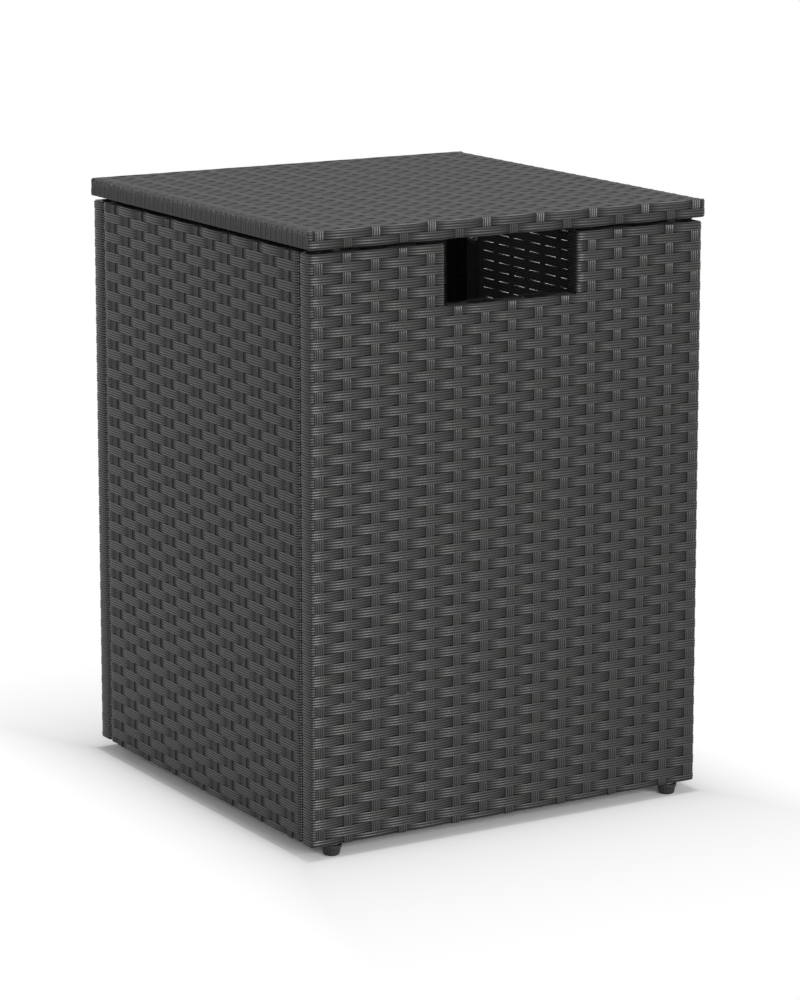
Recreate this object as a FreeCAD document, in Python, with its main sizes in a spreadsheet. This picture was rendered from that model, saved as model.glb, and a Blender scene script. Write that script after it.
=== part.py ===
import FreeCAD, Part
import os

import Sketcher
from FreeCAD import Placement, Rotation, Vector

# A square woven side table that stands over a gas cylinder: four woven panels
# bolted into a box with no bottom, a woven lid that lifts off, and four
# screw feet. Millimetres, +Z up. The origin is on the floor, under the
# middle of the table. The notched front panel faces -Y.

doc = FreeCAD.newDocument("tank_cover_table")
sheet = doc.addObject("Spreadsheet::Sheet", "Sizes")

SIZES = [
    # The body and the lid
    ("body_wide", 400.0),
    ("body_deep", 406.0),
    ("body_tall", 513.0),
    ("foot_show", 10.0),
    ("lid_gap", 2.0),
    ("lid_thick", 18.0),
    ("lid_over", 2.0),
    # The panels: square tube inside a woven skin
    ("tube_side", 15.0),
    ("tube_wall", 1.2),
    ("skin_thick", 2.5),
    ("seam_gap", 0.5),
    ("edge_round", 4.0),
    ("notch_wide", 132.0),
    ("notch_deep", 54.0),
    # The lid's frame
    ("bar_place", 68.0),
    ("gusset_leg", 60.0),
    ("gusset_thick", 2.0),
    ("lid_round", 5.0),
    # The bolts that join the panels, and the rivet nuts that take them
    ("bolt_size", 6.0),
    ("bolt_long", 30.0),
    ("bolt_inset", 60.0),
    ("bolt_head_wide", 10.5),
    ("bolt_head_tall", 3.3),
    ("socket_across", 4.0),
    ("socket_deep", 2.0),
    ("washer_wide", 12.0),
    ("washer_thick", 1.6),
    ("nut_body_wide", 9.0),
    ("nut_body_long", 11.0),
    ("nut_flange_wide", 13.0),
    ("nut_flange_thick", 1.5),
    # The feet
    ("foot_inset", 25.0),
    ("stud_size", 8.0),
    ("stud_end_gap", 0.3),
    ("stud_sunk", 6.0),
    ("knob_wide", 18.0),
    ("knob_gap", 0.4),
    ("knob_rim_tall", 2.2),
    ("knob_taper", 0.8),
    ("knob_sole_wide", 11.0),
    ("knob_sole_round", 1.8),
    ("flute_wide", 1.8),
    ("flute_count", 16.0),
    ("foot_nut_wide", 11.0),
    ("foot_nut_long", 12.0),
    ("foot_flange_wide", 16.0),
    # What the lid carries underneath
    ("bumper_wide", 10.0),
    ("bumper_inset", 32.0),
    ("rest_gap", 0.2),
    ("guide_side", 24.0),
    ("guide_drop", 18.0),
    ("guide_clear", 1.5),
    ("guide_corner", 6.0),
    ("screw_size", 5.0),
    ("screw_long", 16.0),
    ("screw_head_wide", 9.0),
    ("screw_head_tall", 3.0),
    ("screw_seat", 10.0),
    ("weld_nut_across", 8.0),
    ("weld_nut_tall", 4.0),
    # Clearances
    ("hole_clear", 0.3),
    ("skin_clear", 0.5),
    ("thread_clear", 0.05),
    ("stud_clear", 0.1),
]

for row, (alias, size) in enumerate(SIZES, start=1):
    sheet.set(f"A{row}", alias)
    sheet.set(f"B{row}", str(size))
    sheet.setAlias(f"B{row}", alias)
doc.recompute()

# Sizes that follow from the sheet, as expressions
TUBE = "Sizes.tube_side"
WALL = "Sizes.tube_wall"
SKIN = "Sizes.skin_thick"
PANEL = "(Sizes.tube_side + 2 * Sizes.skin_thick)"
TALL = "Sizes.body_tall"
BODY_TOP = "(Sizes.foot_show + Sizes.body_tall)"
LID_LOW = f"({BODY_TOP} + Sizes.lid_gap)"
LID_WIDE = "(Sizes.body_wide + 2 * Sizes.lid_over)"
LID_DEEP = "(Sizes.body_deep + 2 * Sizes.lid_over)"
LID_TUBE = "(Sizes.lid_thick - 2 * Sizes.skin_thick)"
SIDE_WIDE = f"(Sizes.body_deep - 2 * {PANEL} - 2 * Sizes.seam_gap)"
BOLT_HEIGHTS = {
    "low": "Sizes.bolt_inset",
    "high": f"({TALL} - Sizes.bolt_inset)",
}
FOOT_X = "(Sizes.body_wide / 2 - Sizes.foot_inset)"
FOOT_Y = f"(Sizes.body_deep / 2 - {PANEL} / 2)"
NUT_HOLE = "(Sizes.nut_body_wide / 2 + Sizes.hole_clear)"
NUT_SPOT = "(Sizes.nut_flange_wide / 2 + Sizes.skin_clear)"
BOLT_HOLE = "(Sizes.bolt_size / 2 + Sizes.hole_clear)"
FOOT_NUT_HOLE = "(Sizes.foot_nut_wide / 2 + Sizes.hole_clear)"
FOOT_NUT_SPOT = "(Sizes.foot_flange_wide / 2 + Sizes.skin_clear)"
BOTH_SIDES = {"left": -1, "right": 1}
CORNERS = {
    "front_left": (-1, -1),
    "front_right": (1, -1),
    "rear_left": (-1, 1),
    "rear_right": (1, 1),
}

nodes = []


def number(expression):
    """The value of an expression on the sheet, in millimetres."""
    return float(sheet.evalExpression(str(expression)))


def keep(thing, label):
    """Marks a finished sub-part, whose label names its file."""
    thing.Label = label
    nodes.append(thing)
    return thing


def place(thing, x, y, z, axis=Vector(0, 0, 1), turn=0.0):
    """Puts a thing at a point given by three expressions, turned about an axis."""
    thing.Placement = Placement(Vector(), Rotation(axis, turn))
    for name, expression in (("x", x), ("y", y), ("z", z)):
        thing.setExpression(f"Placement.Base.{name}", str(expression))
    return thing


def block(name, low, high):
    """A box from its low corner to its high corner."""
    box = doc.addObject("Part::Box", name)
    for side, start, end in zip(("Length", "Width", "Height"), low, high):
        box.setExpression(side, f"({end}) - ({start})")
    return place(box, *low)


def rod(name, radius, start, length, axis):
    """A round bar from a start point along one axis."""
    bar = doc.addObject("Part::Cylinder", name)
    bar.setExpression("Radius", radius)
    bar.setExpression("Height", length)
    turns = {
        "x": (Vector(0, 1, 0), 90.0),
        "y": (Vector(1, 0, 0), -90.0),
        "z": (Vector(0, 0, 1), 0.0),
    }
    return place(bar, *start, *turns[axis])


def fused(name, parts):
    """Several solids joined into one."""
    joined = doc.addObject("Part::MultiFuse", name)
    joined.Shapes = parts
    joined.Refine = True
    return joined


def less(name, base, tools):
    """A solid with others taken away."""
    result = doc.addObject("Part::Cut", name)
    result.Base = base
    result.Tool = tools[0] if len(tools) == 1 else fused(f"{name}_tools", tools)
    result.Refine = True
    return result


def rounded(name, base, radius, axes):
    """A solid with all its straight edges along the given axes rounded."""
    doc.recompute()
    size = number(radius)
    edges = []
    for index, edge in enumerate(base.Shape.Edges, start=1):
        along = edge.tangentAt(edge.FirstParameter)
        if any(abs(getattr(along, axis)) > 0.99 for axis in axes):
            edges.append((index, size, size))
    fillet = doc.addObject("Part::Fillet", name)
    fillet.Base = base
    fillet.Edges = edges
    return fillet


def tubes(name, runs):
    """Square tubes in one weldment: the full bars and the bores along their runs."""
    bars = []
    bores = []
    for run_name, (low, high, run) in runs.items():
        bars.append(block(f"{name}_{run_name}", low, high))
        inner_low = [a if axis == run else f"{a} + {WALL}" for axis, a in zip("xyz", low)]
        inner_high = [b if axis == run else f"{b} - {WALL}" for axis, b in zip("xyz", high)]
        bores.append(block(f"{name}_{run_name}_bore", inner_low, inner_high))
    return bars, bores


def outline(sketch, points):
    """A closed outline through points, each held at its place by the sheet."""
    values = [(number(x), number(y)) for x, y in points]
    count = len(points)
    for index in range(count):
        start = Vector(*values[index], 0)
        end = Vector(*values[(index + 1) % count], 0)
        sketch.addGeometry(Part.LineSegment(start, end), False)
    for index in range(count):
        sketch.addConstraint(Sketcher.Constraint("Coincident", index, 2, (index + 1) % count, 1))
    for index, (point, value) in enumerate(zip(points, values)):
        hold(sketch, index, 1, point, value)


def hold(sketch, index, spot, point, value):
    """Ties one point of a sketch to two expressions."""
    for kind, axis, expression, size in zip(("DistanceX", "DistanceY"), (-2, -1), point, value):
        if abs(size) < 1e-9:
            sketch.addConstraint(Sketcher.Constraint("PointOnObject", index, spot, axis))
        elif size > 0:
            rule = Sketcher.Constraint(kind, -1, 1, index, spot, size)
            sketch.setExpression(f"Constraints[{sketch.addConstraint(rule)}]", str(expression))
        else:
            rule = Sketcher.Constraint(kind, index, spot, -1, 1, -size)
            sketch.setExpression(f"Constraints[{sketch.addConstraint(rule)}]", f"-({expression})")


def ring(sketch, point, radius):
    """A circle whose centre and radius come from the sheet."""
    value = tuple(number(part) for part in point)
    index = sketch.addGeometry(Part.Circle(Vector(*value, 0), Vector(0, 0, 1), number(radius)), False)
    if value == (0.0, 0.0):
        sketch.addConstraint(Sketcher.Constraint("Coincident", index, 3, -1, 1))
    else:
        hold(sketch, index, 3, point, value)
    rule = Sketcher.Constraint("Radius", index, number(radius))
    sketch.setExpression(f"Constraints[{sketch.addConstraint(rule)}]", str(radius))


def sketch_on(body, name, plane, lift="0"):
    """A sketch on one of the body's own origin planes, lifted along its normal."""
    sketch = body.newObject("Sketcher::SketchObject", name)
    support = [thing for thing in body.Origin.OriginFeatures if thing.Role == plane]
    sketch.AttachmentSupport = (support[0], [""])
    sketch.MapMode = "FlatFace"
    sketch.setExpression("AttachmentOffset.Base.z", lift)
    return sketch


def turned(body, name, points):
    """A solid turned about the body's Z axis from a half outline of radius and height."""
    sketch = sketch_on(body, f"{name}_outline", "XZ_Plane")
    outline(sketch, points)
    solid = body.newObject("PartDesign::Revolution", name)
    solid.Profile = sketch
    solid.ReferenceAxis = (sketch, ["V_Axis"])
    solid.Angle = 360.0
    sketch.Visibility = False
    return solid


def pocket(body, name, sketch, depth, upwards=False):
    """A pocket from a sketch on a level plane, down into the solid or up into it."""
    cut = body.newObject("PartDesign::Pocket", name)
    cut.Profile = sketch
    cut.setExpression("Length", depth)
    cut.Reversed = upwards
    return cut


def pad(body, name, sketch, height):
    """A straight pad up from a sketch."""
    solid = body.newObject("PartDesign::Pad", name)
    solid.Profile = sketch
    solid.setExpression("Length", height)
    return solid


def hexagon(sketch, across):
    """A hexagon about the sketch's origin, given across its flats."""
    far = f"({across}) / sqrt(3)"
    near = f"({across}) / (2 * sqrt(3))"
    half = f"({across}) / 2"
    outline(sketch, [
        (far, "0"), (near, half), (f"-{near}", half),
        (f"-{far}", "0"), (f"-{near}", f"-{half}"), (near, f"-{half}"),
    ])


def copies(label, master, spots):
    """One node of separate like solids: the master linked to each of its places."""
    links = []
    for index, (x, y, z, axis, turn) in enumerate(spots):
        link = doc.addObject("App::Link", f"{label}_{index}")
        link.LinkedObject = master
        links.append(place(link, x, y, z, axis, turn))
    group = doc.addObject("Part::Compound", label)
    group.Links = links
    return keep(group, label)


# The panels

PANELS = {
    "front": ("Sizes.body_wide", "0", "-Sizes.body_deep / 2", 0.0),
    "rear": ("Sizes.body_wide", "0", "Sizes.body_deep / 2", 180.0),
    "left": (SIDE_WIDE, "-Sizes.body_wide / 2", "0", -90.0),
    "right": (SIDE_WIDE, "Sizes.body_wide / 2", "0", 90.0),
}


def panel_runs(half, notched):
    """The tubes of one panel's frame, in the panel's own plane, its outer face at y = 0."""
    near = SKIN
    far = f"({SKIN} + {TUBE})"
    inner = f"({half} - {SKIN} - {TUBE})"
    outer = f"({half} - {SKIN})"
    top = f"({TALL} - {SKIN})"
    under_top = f"({TALL} - {SKIN} - {TUBE})"
    runs = {
        "left_upright": ((f"-{outer}", near, SKIN), (f"-{inner}", far, top), "z"),
        "right_upright": ((inner, near, SKIN), (outer, far, top), "z"),
        "bottom_rail": ((f"-{inner}", near, SKIN), (inner, far, far), "x"),
    }
    if not notched:
        runs["top_rail"] = ((f"-{inner}", near, under_top), (inner, far, top), "x")
        return runs
    gap = "(Sizes.notch_wide / 2)"
    post = f"({gap} + {SKIN})"
    post_far = f"({gap} + {SKIN} + {TUBE})"
    sill = f"({TALL} - Sizes.notch_deep - {SKIN})"
    under_sill = f"({TALL} - Sizes.notch_deep - {SKIN} - {TUBE})"
    runs["left_top_rail"] = ((f"-{inner}", near, under_top), (f"-{post_far}", far, top), "x")
    runs["right_top_rail"] = ((post_far, near, under_top), (inner, far, top), "x")
    runs["left_post"] = ((f"-{post_far}", near, under_sill), (f"-{post}", far, top), "z")
    runs["right_post"] = ((post, near, under_sill), (post_far, far, top), "z")
    runs["sill_rail"] = ((f"-{post}", near, under_sill), (post, far, sill), "x")
    return runs


def panel_windows(name, half, notched):
    """The hollow inside each field of the frame, behind the woven sheet."""
    edge = f"({half} - {PANEL})"
    top = f"({TALL} - {PANEL})"
    if not notched:
        return [block(f"{name}_window", (f"-{edge}", SKIN, PANEL), (edge, PANEL, top))]
    post = f"(Sizes.notch_wide / 2 + {PANEL})"
    step = f"({TALL} - Sizes.notch_deep - {PANEL})"
    return [
        block(f"{name}_low_window", (f"-{edge}", SKIN, PANEL), (edge, PANEL, step)),
        block(f"{name}_left_window", (f"-{edge}", SKIN, step), (f"-{post}", PANEL, top)),
        block(f"{name}_right_window", (post, SKIN, step), (edge, PANEL, top)),
    ]


def notch_block(name):
    """What the hand notch takes out of the front panel."""
    half = "(Sizes.notch_wide / 2)"
    low = (f"-{half}", f"-{PANEL}", f"({TALL} - Sizes.notch_deep)")
    high = (half, f"(2 * {PANEL})", f"({TALL} + {PANEL})")
    return block(name, low, high)


def nut_holes(name, half, radius, start):
    """Holes along y in both uprights, from a start depth to the inner face."""
    spot = f"({half} - {PANEL} / 2)"
    holes = []
    for side, sign in BOTH_SIDES.items():
        for level, height in BOLT_HEIGHTS.items():
            begin = (f"{sign} * {spot}", start, height)
            holes.append(rod(f"{name}_{side}_{level}", radius, begin, f"{PANEL} - {start}", "y"))
    return holes


def foot_holes(name, radius, length):
    """Holes up into the bottom rail for the feet."""
    holes = []
    for side, sign in BOTH_SIDES.items():
        begin = (f"{sign} * {FOOT_X}", f"({PANEL} / 2)", "0")
        holes.append(rod(f"{name}_{side}", radius, begin, length, "z"))
    return holes


def bolt_holes(name, half, radius, start, length):
    """Holes along x through both uprights, mirrored left and right."""
    holes = []
    for side, sign in BOTH_SIDES.items():
        for level, height in BOLT_HEIGHTS.items():
            outer = f"({half} - {start})"
            inner = f"({half} - {start} - {length})"
            begin = inner if sign > 0 else f"-{outer}"
            hole = rod(f"{name}_{side}_{level}", radius, (begin, f"({PANEL} / 2)", height), length, "x")
            holes.append(hole)
    return holes


def make_panel(side):
    """The welded frame of one panel and the weave wrapped round it."""
    wide, x, y, turn = PANELS[side]
    half = f"(({wide}) / 2)"
    notched = side == "front"
    between = side in ("left", "right")

    bars, bores = tubes(f"{side}_tube", panel_runs(half, notched))
    frame_bars = fused(f"{side}_frame_bars", bars)
    if between:
        frame_holes = bolt_holes(f"{side}_frame_hole", half, BOLT_HOLE, "0", PANEL)
        seat = f"({SKIN})"
        inner_face = f"({PANEL} - {SKIN})"
        skin_holes = bolt_holes(f"{side}_seam_hole", half, BOLT_HOLE, "0", seat)
        skin_holes += bolt_holes(f"{side}_head_spot", half, NUT_SPOT, inner_face, seat)
    else:
        frame_holes = nut_holes(f"{side}_nut_hole", half, NUT_HOLE, f"({PANEL} / 2)")
        frame_holes += foot_holes(f"{side}_foot_hole", FOOT_NUT_HOLE, f"{PANEL} / 2")
        skin_holes = nut_holes(f"{side}_nut_spot", half, NUT_SPOT, f"({SKIN} + {TUBE})")
        skin_holes += foot_holes(f"{side}_foot_spot", FOOT_NUT_SPOT, SKIN)
    frame = less(f"{side}_frame", frame_bars, bores + frame_holes)
    place(frame, x, y, "Sizes.foot_show", Vector(0, 0, 1), turn)
    keep(frame, f"{side}_frame")

    blank = block(f"{side}_blank", (f"-{half}", "0", "0"), (half, PANEL, TALL))
    if notched:
        blank = less("front_notched", blank, [notch_block("front_notch")])
    soft_edges = rounded(f"{side}_rounded", blank, "Sizes.edge_round", "xyz")
    windows = panel_windows(side, half, notched)
    weave = less(f"{side}_weave", soft_edges, [frame_bars] + windows + skin_holes)
    place(weave, x, y, "Sizes.foot_show", Vector(0, 0, 1), turn)
    keep(weave, f"{side}_weave")


# The lid

def make_lid():
    """The lid's welded frame with its bars and gussets, and the weave wrapped round it."""
    half_x = f"({LID_WIDE} / 2 - {SKIN})"
    half_y = f"({LID_DEEP} / 2 - {SKIN})"
    in_x = f"({half_x} - {LID_TUBE})"
    in_y = f"({half_y} - {LID_TUBE})"
    low = SKIN
    high = f"({SKIN} + {LID_TUBE})"
    runs = {
        "front_rail": ((f"-{half_x}", f"-{half_y}", low), (half_x, f"-{in_y}", high), "x"),
        "rear_rail": ((f"-{half_x}", in_y, low), (half_x, half_y, high), "x"),
        "left_rail": ((f"-{half_x}", f"-{in_y}", low), (f"-{in_x}", in_y, high), "y"),
        "right_rail": ((in_x, f"-{in_y}", low), (half_x, in_y, high), "y"),
    }
    for name, sign in (("front_bar", -1), ("rear_bar", 1)):
        near = f"({sign} * Sizes.bar_place - {LID_TUBE} / 2)"
        far = f"({sign} * Sizes.bar_place + {LID_TUBE} / 2)"
        runs[name] = ((f"-{in_x}", near, low), (in_x, far, high), "x")
    bars, bores = tubes("lid_tube", runs)
    ring_bars = fused("lid_ring_bars", bars[:4])
    welded = fused("lid_bars", bars[4:] + [ring_bars])
    hollow = less("lid_hollow", welded, bores)
    holes = [
        rod(f"gusset_hole_{corner}", "Sizes.screw_size / 2 + Sizes.hole_clear",
            (f"{sx} * {GUIDE_X}", f"{sy} * {GUIDE_Y}", "0"), f"{SKIN} + {LID_TUBE}", "z")
        for corner, (sx, sy) in CORNERS.items()
    ]
    corner_plates = fused("lid_gussets", gussets(in_x, in_y))
    plates = less("lid_plates", corner_plates, holes)
    frame = fused("lid_frame", [hollow, plates])
    place(frame, "0", "0", LID_LOW)
    keep(frame, "lid_frame")

    outer_x = f"({LID_WIDE} / 2)"
    outer_y = f"({LID_DEEP} / 2)"
    blank = block("lid_blank", (f"-{outer_x}", f"-{outer_y}", "0"), (outer_x, outer_y, "Sizes.lid_thick"))
    soft_edges = rounded("lid_rounded", blank, "Sizes.lid_round", "xyz")
    edge_x = f"({in_x} - {SKIN})"
    edge_y = f"({in_y} - {SKIN})"
    window = block("lid_window", (f"-{edge_x}", f"-{edge_y}", "0"), (edge_x, edge_y, high))
    weave = less("lid_weave", soft_edges, [ring_bars, window, corner_plates] + bars[4:])
    place(weave, "0", "0", LID_LOW)
    keep(weave, "lid_weave")


GUIDE_X = f"(Sizes.body_wide / 2 - {PANEL} - Sizes.guide_clear - Sizes.guide_side / 2)"
GUIDE_Y = f"(Sizes.body_deep / 2 - {PANEL} - Sizes.guide_clear - Sizes.guide_side / 2)"


def gussets(in_x, in_y):
    """Triangular plates in the lid frame's corners, level with the tubes' underside."""
    plates = []
    for corner, (sx, sy) in CORNERS.items():
        plate = doc.addObject("PartDesign::Body", f"gusset_{corner}")
        sketch = sketch_on(plate, f"gusset_{corner}_outline", "XY_Plane", SKIN)
        outline(sketch, [
            (f"{sx} * {in_x}", f"{sy} * {in_y}"),
            (f"{sx} * ({in_x} - Sizes.gusset_leg)", f"{sy} * {in_y}"),
            (f"{sx} * {in_x}", f"{sy} * ({in_y} - Sizes.gusset_leg)"),
        ])
        pad(plate, f"gusset_{corner}_plate", sketch, "Sizes.gusset_thick")
        plates.append(plate)
    return plates


for panel_side in PANELS:
    make_panel(panel_side)
make_lid()


# The bolts, washers and rivet nuts that join the panels

def socket_screw(name, size, length, head_wide, head_tall):
    """A round-headed socket screw, its seat at z = 0 and its shank down."""
    body = doc.addObject("PartDesign::Body", name)
    turned(body, f"{name}_blank", [
        ("0", f"-({length})"),
        (f"{size} / 2 - {size} / 10", f"-({length})"),
        (f"{size} / 2", f"-({length} - {size} / 10)"),
        (f"{size} / 2", "0"),
        (f"{head_wide} / 2", "0"),
        (f"{head_wide} / 2", f"{head_tall} * 0.25"),
        (f"{head_wide} * 0.42", f"{head_tall} * 0.7"),
        (f"{head_wide} * 0.3", head_tall),
        ("0", head_tall),
    ])
    doc.recompute()
    before = body.Shape.Volume
    sketch = sketch_on(body, f"{name}_socket_outline", "XY_Plane", head_tall)
    hexagon(sketch, "Sizes.socket_across")
    pocket(body, f"{name}_socket", sketch, "Sizes.socket_deep")
    doc.recompute()
    if body.Shape.Volume >= before:
        raise RuntimeError(f"{name}: the socket cut nothing")
    return body


def rivet_nut(name, bore, body_wide, body_long, flange_wide, flange_thick):
    """A flanged rivet nut, its flange under z = 0 and its barrel up."""
    body = doc.addObject("PartDesign::Body", name)
    swell = f"({WALL} + {flange_thick})"
    turned(body, f"{name}_turned", [
        (bore, f"-{flange_thick}"),
        (f"{flange_wide} / 2", f"-{flange_thick}"),
        (f"{flange_wide} / 2", "0"),
        (f"{body_wide} / 2", "0"),
        (f"{body_wide} / 2", WALL),
        (f"{body_wide} / 2 + {flange_thick} / 2", WALL),
        (f"{body_wide} / 2 + {flange_thick} / 2", swell),
        (f"{body_wide} / 2", f"({swell} + {flange_thick} / 2)"),
        (f"{body_wide} / 2", body_long),
        (bore, body_long),
    ])
    return body


def washer(name):
    """A flat washer on z = 0."""
    body = doc.addObject("PartDesign::Body", name)
    sketch = sketch_on(body, f"{name}_outline", "XY_Plane")
    ring(sketch, ("0", "0"), "Sizes.washer_wide / 2")
    ring(sketch, ("0", "0"), BOLT_HOLE)
    pad(body, f"{name}_plate", sketch, "Sizes.washer_thick")
    return body


def joint_spots(depth):
    """The eight places where a side panel is bolted to the front or the rear one.

    Depth runs back from the inner face of the front or rear tube, towards the
    middle of the table. Each fastener's own z axis points that way.
    """
    x = f"(Sizes.body_wide / 2 - {PANEL} / 2)"
    face = f"(Sizes.body_deep / 2 - {SKIN} - {TUBE})"
    spots = []
    for sx, sy in CORNERS.values():
        for height in BOLT_HEIGHTS.values():
            spots.append((
                f"{sx} * {x}",
                f"{sy} * ({face} - ({depth}))",
                f"Sizes.foot_show + {height}",
                Vector(1, 0, 0),
                90.0 * sy,
            ))
    return spots


HEAD_SEAT = f"({SKIN} + Sizes.seam_gap + {SKIN} + {TUBE})"
bolt = socket_screw("panel_bolt", "Sizes.bolt_size", "Sizes.bolt_long",
                    "Sizes.bolt_head_wide", "Sizes.bolt_head_tall")
copies("panel_bolts", bolt, joint_spots(f"{HEAD_SEAT} + Sizes.washer_thick"))
copies("panel_washers", washer("panel_washer"), joint_spots(HEAD_SEAT))

panel_nut = rivet_nut("panel_rivet_nut", "Sizes.bolt_size / 2 + Sizes.thread_clear",
                      "Sizes.nut_body_wide", "Sizes.nut_body_long",
                      "Sizes.nut_flange_wide", "Sizes.nut_flange_thick")
nut_places = [(x, y, z, axis, turn + 180.0) for x, y, z, axis, turn in joint_spots("0")]
copies("panel_rivet_nuts", panel_nut, nut_places)


# The feet

foot_nut = rivet_nut("foot_rivet_nut", "Sizes.stud_size / 2 + Sizes.stud_clear",
                     "Sizes.foot_nut_wide", "Sizes.foot_nut_long",
                     "Sizes.foot_flange_wide", "Sizes.nut_flange_thick")
copies("foot_rivet_nuts", foot_nut, [
    (f"{sx} * {FOOT_X}", f"{sy} * {FOOT_Y}", f"Sizes.foot_show + {SKIN}", Vector(0, 0, 1), 0.0)
    for sx, sy in CORNERS.values()
])

KNOB_TALL = "(Sizes.foot_show - Sizes.knob_gap)"
STUD_LOW = f"({KNOB_TALL} - Sizes.stud_sunk)"
STUD_TOP = f"(Sizes.foot_show + {SKIN} + {TUBE} - {WALL} - Sizes.stud_end_gap)"


def make_stud(corner):
    """A threaded stud from inside the knob to just under the bottom rail's top wall."""
    sx, sy = CORNERS[corner]
    body = doc.addObject("PartDesign::Body", f"stud_{corner}")
    sketch = sketch_on(body, f"stud_{corner}_outline", "XY_Plane")
    ring(sketch, ("0", "0"), "Sizes.stud_size / 2")
    pad(body, f"stud_{corner}_bar", sketch, f"{STUD_TOP} - {STUD_LOW}")
    doc.recompute()
    bar = body.Tip
    ends = [f"Edge{i}" for i, edge in enumerate(bar.Shape.Edges, start=1) if edge.Closed]
    chamfer = body.newObject("PartDesign::Chamfer", f"stud_{corner}_ends")
    chamfer.Base = (bar, ends)
    chamfer.setExpression("Size", "Sizes.stud_size / 10")
    place(body, f"{sx} * {FOOT_X}", f"{sy} * {FOOT_Y}", STUD_LOW)
    keep(body, f"foot_stud_{corner}")


def make_knob(corner):
    """A fluted plastic knob with a flat sole, a rounded lower edge and a plain rim."""
    sx, sy = CORNERS[corner]
    body = doc.addObject("PartDesign::Body", f"knob_{corner}")
    rim = "(Sizes.knob_wide / 2)"
    waist = f"({rim} - Sizes.knob_taper)"
    rim_low = f"({KNOB_TALL} - Sizes.knob_rim_tall)"
    sole = "(Sizes.knob_sole_wide / 2)"
    bore = "(Sizes.stud_size / 2 + Sizes.stud_clear)"
    bore_low = f"({STUD_LOW} - Sizes.stud_end_gap)"
    turned(body, f"knob_{corner}_turned", [
        ("0", "0"),
        (sole, "0"),
        (f"({sole} + Sizes.knob_sole_round * 0.7)", "Sizes.knob_sole_round * 0.3"),
        (f"({sole} + Sizes.knob_sole_round)", "Sizes.knob_sole_round"),
        (waist, rim_low),
        (rim, rim_low),
        (rim, KNOB_TALL),
        (bore, KNOB_TALL),
        (bore, bore_low),
        ("0", bore_low),
    ])
    doc.recompute()
    before = body.Shape.Volume
    sketch = sketch_on(body, f"knob_{corner}_flute_outline", "XY_Plane", "Sizes.knob_sole_round")
    ring(sketch, (waist, "0"), "Sizes.flute_wide / 2")
    flute = pocket(body, f"knob_{corner}_flute", sketch, f"{rim_low} - Sizes.knob_sole_round", True)
    doc.recompute()
    pattern = body.newObject("PartDesign::PolarPattern", f"knob_{corner}_flutes")
    pattern.Originals = [flute]
    pattern.Axis = (sketch, ["N_Axis"])
    pattern.Angle = 360.0
    pattern.setExpression("Occurrences", "Sizes.flute_count")
    body.Tip = pattern
    doc.recompute()
    if body.Shape.Volume >= before:
        raise RuntimeError(f"knob {corner}: the flutes cut nothing")
    place(body, f"{sx} * {FOOT_X}", f"{sy} * {FOOT_Y}", "0")
    keep(body, f"foot_knob_{corner}")


for foot in CORNERS:
    make_stud(foot)
    make_knob(foot)


# The lid's bumpers, guides, guide screws and their nuts

def make_bumpers():
    """Rubber pads under the lid that keep the gap over the body open."""
    body = doc.addObject("PartDesign::Body", "bumper")
    sketch = sketch_on(body, "bumper_outline", "XY_Plane")
    ring(sketch, ("0", "0"), "Sizes.bumper_wide / 2")
    pad(body, "bumper_pad", sketch, "Sizes.lid_gap - Sizes.rest_gap")
    x = f"({LID_WIDE} / 2 - Sizes.bumper_inset)"
    z = f"({BODY_TOP} + Sizes.rest_gap)"
    copies("lid_bumpers", body, [
        (f"{sx} * {x}", f"{sy} * {FOOT_Y}", z, Vector(0, 0, 1), 0.0) for sx, sy in CORNERS.values()
    ])


GUIDE_TALL = f"(Sizes.guide_drop + Sizes.lid_gap + {SKIN})"
GUIDE_SPOTS = [(sx, sy, turn) for (sx, sy), turn in zip(CORNERS.values(), (180.0, 270.0, 90.0, 0.0))]


def make_guides():
    """Square blocks with one corner cut off, each with a deep seat for its screw."""
    body = doc.addObject("PartDesign::Body", "guide")
    half = "(Sizes.guide_side / 2)"
    cut = f"({half} - Sizes.guide_corner)"
    sketch = sketch_on(body, "guide_outline", "XY_Plane")
    outline(sketch, [
        (half, f"-{half}"), (half, half), (f"-{half}", half),
        (f"-{half}", f"-{cut}"), (f"-{cut}", f"-{half}"),
    ])
    pad(body, "guide_block", sketch, GUIDE_TALL)
    doc.recompute()
    before = body.Shape.Volume
    seat = sketch_on(body, "guide_seat_outline", "XY_Plane")
    ring(seat, ("0", "0"), "Sizes.screw_head_wide / 2 + Sizes.skin_clear")
    pocket(body, "guide_seat", seat, f"{GUIDE_TALL} - Sizes.screw_seat", True)
    bore = sketch_on(body, "guide_bore_outline", "XY_Plane")
    ring(bore, ("0", "0"), "Sizes.screw_size / 2 + Sizes.hole_clear")
    pocket(body, "guide_bore", bore, GUIDE_TALL, True)
    doc.recompute()
    if body.Shape.Volume >= before:
        raise RuntimeError("guide: the screw seat cut nothing")
    z = f"({LID_LOW} + {SKIN} - {GUIDE_TALL})"
    copies("lid_guides", body, [
        (f"{sx} * {GUIDE_X}", f"{sy} * {GUIDE_Y}", z, Vector(0, 0, 1), turn) for sx, sy, turn in GUIDE_SPOTS
    ])


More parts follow.
